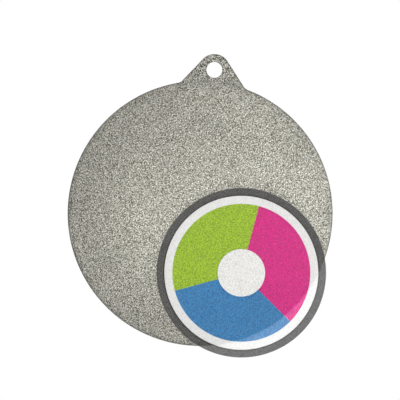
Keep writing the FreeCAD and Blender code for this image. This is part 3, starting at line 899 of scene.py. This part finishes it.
socket_front, boss_back = level("hub_socket", False), level("hub_socket", True)
chamber_front, chamber_back = level("snap_ring", False) - 0.05 * MM, level("snap_ring", True) + 0.05 * MM
socket_profile = [(0, socket_front), (BOSS_R - 0.05 * MM, socket_front), (BOSS_R - 0.05 * MM, seat_y)]
socket_profile += [(HUB_R - 0.1 * MM, seat_y), (HUB_R, seat_y + 0.1 * MM)]
socket_profile += arc(HUB_R - 0.28 * MM, ring_back_y - 0.28 * MM, 0.28 * MM, 0, 90)
socket_profile += arc(BOSS_R + 0.4 * MM, ring_back_y + 0.4 * MM, 0.4 * MM, -90, -180, 4)
socket_profile += arc(BOSS_R - 0.25 * MM, boss_back - 0.25 * MM, 0.25 * MM, 0, 90, 4)
socket_profile += arc(MOUTH_R + 0.15 * MM, boss_back - 0.15 * MM, 0.15 * MM, 90, 180, 4)
socket_profile += [(MOUTH_R, chamber_back), (CHAMBER_R, chamber_back)]
socket_profile += [(CHAMBER_R, chamber_front), (MOUTH_R, chamber_front)]
socket_profile += [(MOUTH_R, socket_front + 0.4 * MM), (0, socket_front + 0.4 * MM)]
hub_socket = dress(keep_place(lathe("hub_rear", socket_profile, WHEEL_AT, 144)), "hub_white", "colour_wheel")
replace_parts(hub_socket, "hub_socket")


# ---- Floor, light and camera ----
FLOOR_Z, FLOOR_R = -0.6, 2.4


def floor():
    """A pale round floor that fades out before its edge."""
    rings, spokes = 12, 96
    turns = [math.tau * k / spokes for k in range(spokes)]
    points, faces = [(0, 0, FLOOR_Z)], []
    for i in range(1, rings + 1):
        r = FLOOR_R * i / rings
        points += [(r * math.cos(a), r * math.sin(a), FLOOR_Z) for a in turns]
    for k in range(spokes):
        faces.append((0, 1 + k, 1 + (k + 1) % spokes))
    for i in range(rings - 1):
        a, b = 1 + i * spokes, 1 + (i + 1) * spokes
        faces += [(a + k, b + k, b + (k + 1) % spokes, a + (k + 1) % spokes) for k in range(spokes)]
    made = mesh_object("floor", points, faces)
    f = Finish("floor_paint", "object", Roughness=0.9)
    tone = f.mix(f.noise(6, 3.0), linear(252, 252, 251), linear(247, 247, 246))
    distance = f.node("VectorMath", 1, {0: f.place}, operation="LENGTH")
    f.drive(Base_Color=tone, Alpha=f.ramp(distance, 1.3, FLOOR_R - 0.1, 1.0, 0.0))
    made.data.materials.append(f.material)


def surroundings():
    """White behind everything, and a weaker even light from all round."""
    world = bpy.data.worlds.new("studio")
    bpy.context.scene.world = world
    world.use_nodes = True
    tree = world.node_tree
    output = tree.nodes["World Output"]
    seen, lit = tree.nodes["Background"], tree.nodes.new("ShaderNodeBackground")
    seen.inputs["Color"].default_value, seen.inputs["Strength"].default_value = (1, 1, 1, 1), 1.0
    lit.inputs["Color"].default_value, lit.inputs["Strength"].default_value = (1, 1, 1, 1), 0.36
    path, choose = tree.nodes.new("ShaderNodeLightPath"), tree.nodes.new("ShaderNodeMixShader")
    tree.links.new(path.outputs["Is Camera Ray"], choose.inputs[0])
    tree.links.new(lit.outputs[0], choose.inputs[1])
    tree.links.new(seen.outputs[0], choose.inputs[2])
    tree.links.new(choose.outputs[0], output.inputs[0])


def area_light(name, at, aim, size, power):
    light = bpy.data.lights.new(name, "AREA")
    light.shape, light.size, light.energy = "DISK", size, power
    made = bpy.data.objects.new(name, light)
    made.location = at
    made.rotation_euler = (Vector(aim) - Vector(at)).to_track_quat("-Z", "Y").to_euler()
    bpy.context.scene.collection.objects.link(made)


PHOTO_TILT = math.radians(5.66)
DISTANCE, SENSOR = 3.0, 0.036
FRAME_WIDTH = DISC_R * 2 * 1.5097
AIM_ABOVE, AIM_ASIDE = DISC_R * 0.1014, DISC_R * -0.001  # where the camera aims, from the disc's centre


def camera():
    """Straight on from far away, rolled so that the disc hangs a little clockwise."""
    right = Vector((math.cos(PHOTO_TILT), 0, math.sin(PHOTO_TILT)))
    up = Vector((-math.sin(PHOTO_TILT), 0, math.cos(PHOTO_TILT)))
    data = bpy.data.cameras.new("camera")
    data.sensor_width = SENSOR * 1000
    data.lens = SENSOR * 1000 * DISTANCE / FRAME_WIDTH
    made = bpy.data.objects.new("camera", data)
    aim = Vector((0, 0, DISC_Z)) + up * AIM_ABOVE + right * AIM_ASIDE
    turn = Matrix((right, up, Vector((0, -1, 0)))).transposed().to_4x4()
    made.matrix_world = Matrix.Translation(aim + Vector((0, -DISTANCE, 0))) @ turn
    bpy.context.scene.collection.objects.link(made)
    bpy.context.scene.camera = made


floor()
surroundings()
area_light("key", (-1.1, -1.9, 1.1), (0, 0, DISC_Z), 1.2, 23.5)
area_light("fill", (1.4, -1.6, 0.2), (0, 0, DISC_Z), 1.4, 15.5)
area_light("rear", (0.6, 2.0, 1.0), (0, 0, DISC_Z), 1.2, 30)
camera()
bpy.context.scene.view_settings.view_transform = "Standard"
